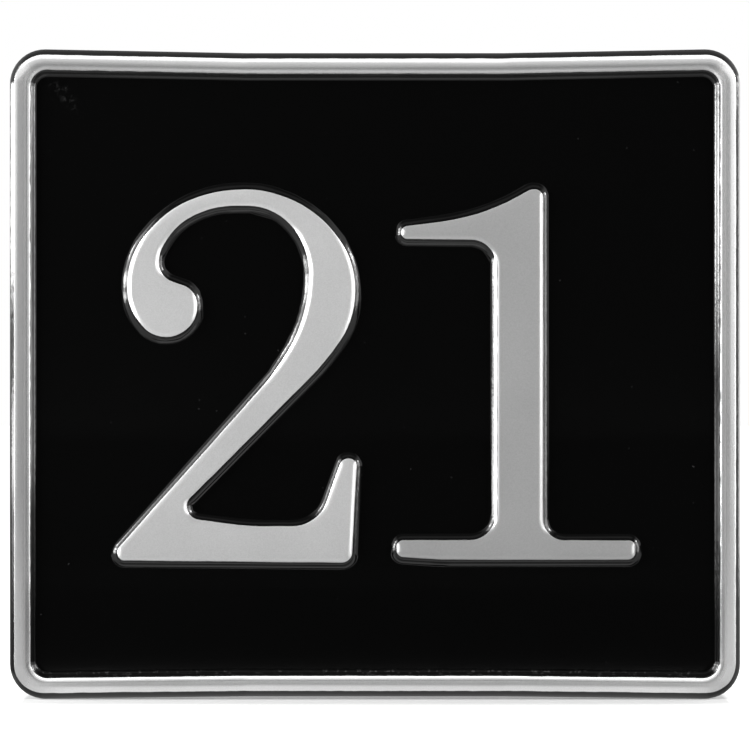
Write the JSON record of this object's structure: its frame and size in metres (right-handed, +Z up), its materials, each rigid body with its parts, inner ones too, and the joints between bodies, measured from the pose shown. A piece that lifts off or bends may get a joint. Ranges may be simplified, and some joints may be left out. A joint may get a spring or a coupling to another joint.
{
  "type": "house number plaque",
  "caption": "Rectangular pressed-metal house number plaque, gloss black, with a raised silver border bead and large raised silver serif numerals.",
  "frame": {"origin": "centre of the plaque's back, on the flat that lies against the door or wall", "axes": "upright as it is read: +X to the right, +Z up, front facing -Y, back facing +Y"},
  "size_m": [0.1464, 0.0024, 0.1302],
  "materials": {
    "plaque": "gloss black lacquer with matt silver foil on the raised bead and numerals; bare mill finish behind"
  },
  "bodies": {
    "root": {"plaque": "plaque"}
  },
  "joints": []
}
